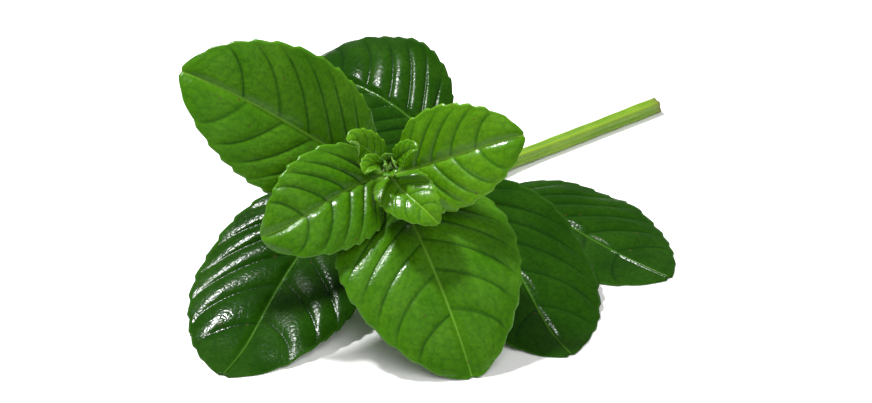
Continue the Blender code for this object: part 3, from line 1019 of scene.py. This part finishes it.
leafFourLeft = {
    "node": 14.5, "angle": 146, "tip": (-39.0, 11.0, 46.0),
    "start": (-0.85, 0.0, 0.5), "end": (-0.95, 0.3, 0.2),
    "face": (0.2, -0.7, 0.6), "faceTip": (0.0, -0.75, 0.65),
    "petiole": 2.4, "width": 28.0, "fold": 12, "curl": 13, "skin": "mature", "seed": 41,
    "teeth": 12, "wave": 0.15,
}
makeLeaf("leafFourLeft", "leaf_4_left", [leafFourLeft])

leafFourFront = {
    "node": 14.5, "angle": 296, "tip": (15.6, -23.0, -0.7),
    "start": (0.25, -0.95, 0.1), "end": (0.25, -0.35, -0.9),
    "face": (0.0, -0.4, 0.9), "faceTip": (0.2, -0.9, 0.4),
    "petiole": 1.6, "width": 34.0, "fold": 9, "curl": 20, "skin": "mature", "seed": 42,
    "teeth": 11, "baseShape": 0.8,
}
makeLeaf("leafFourFront", "leaf_4_front", [leafFourFront])

# fifth pair, darker

leafFiveLeft = {
    "node": 31.0, "angle": 202, "tip": (-30.5, -22.5, -1.8),
    "start": (-0.95, -0.15, 0.0), "end": (-0.4, -0.9, -0.2),
    "face": (-0.1, -0.5, 0.8), "faceTip": (-0.1, -0.1, 1.0),
    "petiole": 6.0, "width": 34.0, "fold": 10, "curl": 20, "skin": "old", "seed": 51,
    "teeth": 14, "quilt": 0.42, "netHeight": 0.03,
}
makeLeaf("leafFiveLeft", "leaf_5_left", [leafFiveLeft])

leafFiveRight = {
    "node": 31.0, "angle": 20, "tip": (34.0, -15.5, -1.8),
    "start": (0.95, -0.1, 0.2), "end": (0.45, -0.85, -0.2),
    "face": (0.1, -0.5, 0.8), "faceTip": (0.2, -0.1, 1.0),
    "petiole": 7.0, "width": 31.0, "fold": 10, "curl": 20, "skin": "old", "seed": 52,
    "teeth": 13, "quilt": 0.42, "netHeight": 0.03,
}
makeLeaf("leafFiveRight", "leaf_5_right", [leafFiveRight])

# sixth pair

leafSixUpper = {
    "node": 57.0, "angle": 112, "tip": (-20.0, 68.0, 14.0),
    "start": (-0.5, 0.2, 0.85), "end": (-0.8, 0.4, -0.5),
    "face": (0.5, -0.6, 0.6), "faceTip": (-0.4, -0.1, 0.9),
    "petiole": 8.0, "width": 33.0, "fold": 10, "curl": 22, "skin": "old", "seed": 61,
    "teeth": 13, "quilt": 0.42, "netHeight": 0.03,
}
makeLeaf("leafSixUpper", "leaf_6_upper", [leafSixUpper])

leafSixLower = {
    "node": 57.0, "angle": 335, "tip": (54.0, 12.0, -1.8),
    "start": (0.85, -0.5, 0.1), "end": (0.75, -0.65, -0.1),
    "face": (0.2, -0.1, 1.0), "faceTip": (0.0, 0.0, 1.0),
    "petiole": 8.0, "width": 30.0, "fold": 8, "curl": 14, "skin": "old", "seed": 62,
    "teeth": 13, "quilt": 0.42, "netHeight": 0.03,
}
makeLeaf("leafSixLower", "leaf_6_lower", [leafSixLower])
print("leaves made")

# the bud: unopened leaves, folded round each other

budLeaves = [
    {
        "node": 0.5, "angle": 290, "tip": (0.86, -3.28, 31.69),
        "start": (0.21, -0.97, 0.12), "end": (0.27, -0.73, -0.36),
        "face": (-0.24, -0.08, 0.96), "faceTip": (-0.14, -0.42, 0.88),
        "petiole": 0.1, "width": 3.8, "fold": 18, "curl": 34,
    },
    {
        "node": 0.5, "angle": 110, "tip": (-0.65, -0.74, 34.97),
        "start": (-0.17, -0.35, 0.95), "end": (-0.21, 0.01, 0.75),
        "face": (0.27, -0.95, -0.16), "faceTip": (0.17, -0.91, 0.19),
        "petiole": 0.1, "width": 3.8, "fold": 20, "curl": 36,
    },
    {
        "node": 0.1, "angle": 20, "tip": (0.66, -1.77, 33.82),
        "start": (0.75, -0.26, 0.6), "end": (-0.56, -0.58, 0.25),
        "face": (-0.89, -0.37, -0.11), "faceTip": (-0.85, -0.06, -0.36),
        "petiole": 0.1, "width": 3.0, "fold": 22, "curl": 40,
    },
    {
        "node": 0.1, "angle": 200, "tip": (-0.28, -1.85, 33.43),
        "start": (-0.75, -0.63, 0.2), "end": (0.56, -0.31, 0.55),
        "face": (0.89, 0.07, 0.38), "faceTip": (0.85, 0.35, 0.09),
        "petiole": 0.1, "width": 3.0, "fold": 22, "curl": 40,
    },
    {
        "node": 0.0, "angle": 330, "tip": (0.09, -1.3, 33.0),
        "start": (0.43, -0.76, 0.35), "end": (-0.43, -0.28, 0.59),
        "face": (-0.82, 0.24, 0.42), "faceTip": (-0.78, 0.45, 0.2),
        "petiole": 0.1, "width": 2.2, "fold": 25, "curl": 40,
    },
]
for place, budLeaf in enumerate(budLeaves):
    budLeaf.update({
        "skin": "young", "seed": 71 + place, "teeth": 4, "toothDepth": 0.12, "stations": 44,
        "across": 10, "rooting": 0.5, "wave": 0.1,
    })
makeLeaf("budLeaves", "tip_bud", budLeaves)
print("bud made")


# floor and light

room = {
    "floorSize": 3.0,
    "floorDrop": 0.0001,  # keeps the floor clear of leaves pressed flat
    "floorColor": (0.86, 0.86, 0.85, 1.0),
    "floorRough": 0.65,
    "lampAim": (0.0, 0.0, 0.02),
    "keyPlace": (-0.25, 0.15, 0.62),
    "keySize": 0.11,
    "keyPower": 8.5,
    "fillPlace": (0.3, -0.6, 0.75),
    "fillSize": 0.9,
    "fillPower": 8.0,
    "sky": 0.22,
}


def makeFloor():
    half = room["floorSize"] / 2
    mesh = bpy.data.meshes.new("floor")
    corners = [(-half, -half, 0), (half, -half, 0), (half, half, 0), (-half, half, 0)]
    mesh.from_pydata(corners, [], [(0, 1, 2, 3)])
    floor = bpy.data.objects.new("floor", mesh)
    floor.location.z = -room["floorDrop"]
    bpy.context.scene.collection.objects.link(floor)
    material, _, shader = newMaterial("paleFloor")
    shader.inputs["Base Color"].default_value = room["floorColor"]
    shader.inputs["Roughness"].default_value = room["floorRough"]
    mesh.materials.append(material)


def makeLamp(name, place, size, power):
    data = bpy.data.lights.new(name, "AREA")
    data.shape = "DISK"
    data.size = size
    data.energy = power
    lamp = bpy.data.objects.new(name, data)
    lamp.location = place
    aim = Vector(room["lampAim"]) - Vector(place)
    lamp.rotation_euler = aim.to_track_quat("-Z", "Y").to_euler()
    bpy.context.scene.collection.objects.link(lamp)
    return lamp


makeFloor()
makeLamp("keyLamp", room["keyPlace"], room["keySize"], room["keyPower"])
fillLamp = makeLamp("fillLamp", room["fillPlace"], room["fillSize"], room["fillPower"])
fillLamp.visible_glossy = False  # no grey sheen on the leaves
world = bpy.data.worlds.new("softRoom")
world.use_nodes = True
world.node_tree.nodes["Background"].inputs["Color"].default_value = (1.0, 1.0, 1.0, 1.0)
world.node_tree.nodes["Background"].inputs["Strength"].default_value = room["sky"]
bpy.context.scene.world = world
bpy.context.scene.view_settings.view_transform = "Standard"
print("room made")
